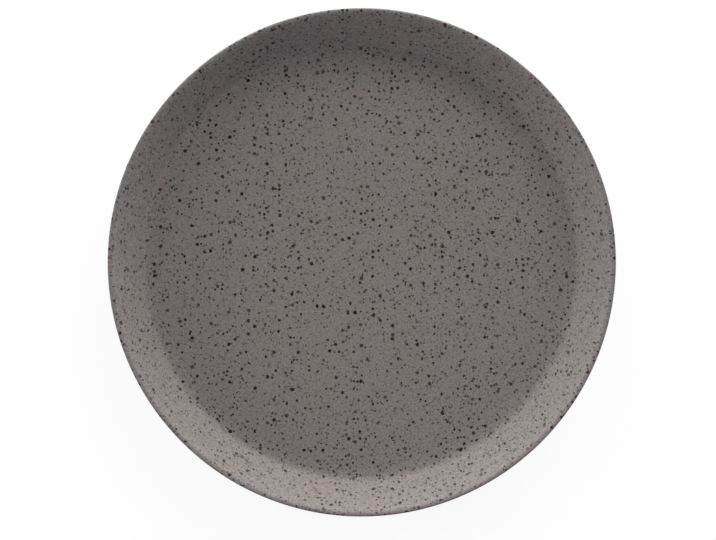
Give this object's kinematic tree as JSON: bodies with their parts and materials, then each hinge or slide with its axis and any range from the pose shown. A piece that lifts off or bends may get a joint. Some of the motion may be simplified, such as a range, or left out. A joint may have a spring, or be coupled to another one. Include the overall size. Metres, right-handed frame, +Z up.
{
  "type": "coupe dinner plate",
  "caption": "Round rimless stoneware plate with a flat floor, a short upturned wall, a rounded lip and a foot ring, under speckled grey glaze, to serve a meal on.",
  "frame": {"origin": "on the plate's axis, in the plane of the foot ring's contact face", "axes": "+Z up along the plate's axis, out of the food face; the plate is a figure of revolution, so +X and +Y are alike"},
  "size_m": [0.27, 0.27, 0.025],
  "materials": {
    "bare_stoneware": "matt, dry fired clay with dark iron specks",
    "speckled_glaze": "satin matt warm grey with dark iron speckle",
    "base_glaze": "satin matt warm grey with dark iron speckle"
  },
  "bodies": {
    "root": {"stoneware_body": "bare_stoneware", "glaze_coat": "speckled_glaze", "base_glaze": "base_glaze"}
  },
  "joints": []
}
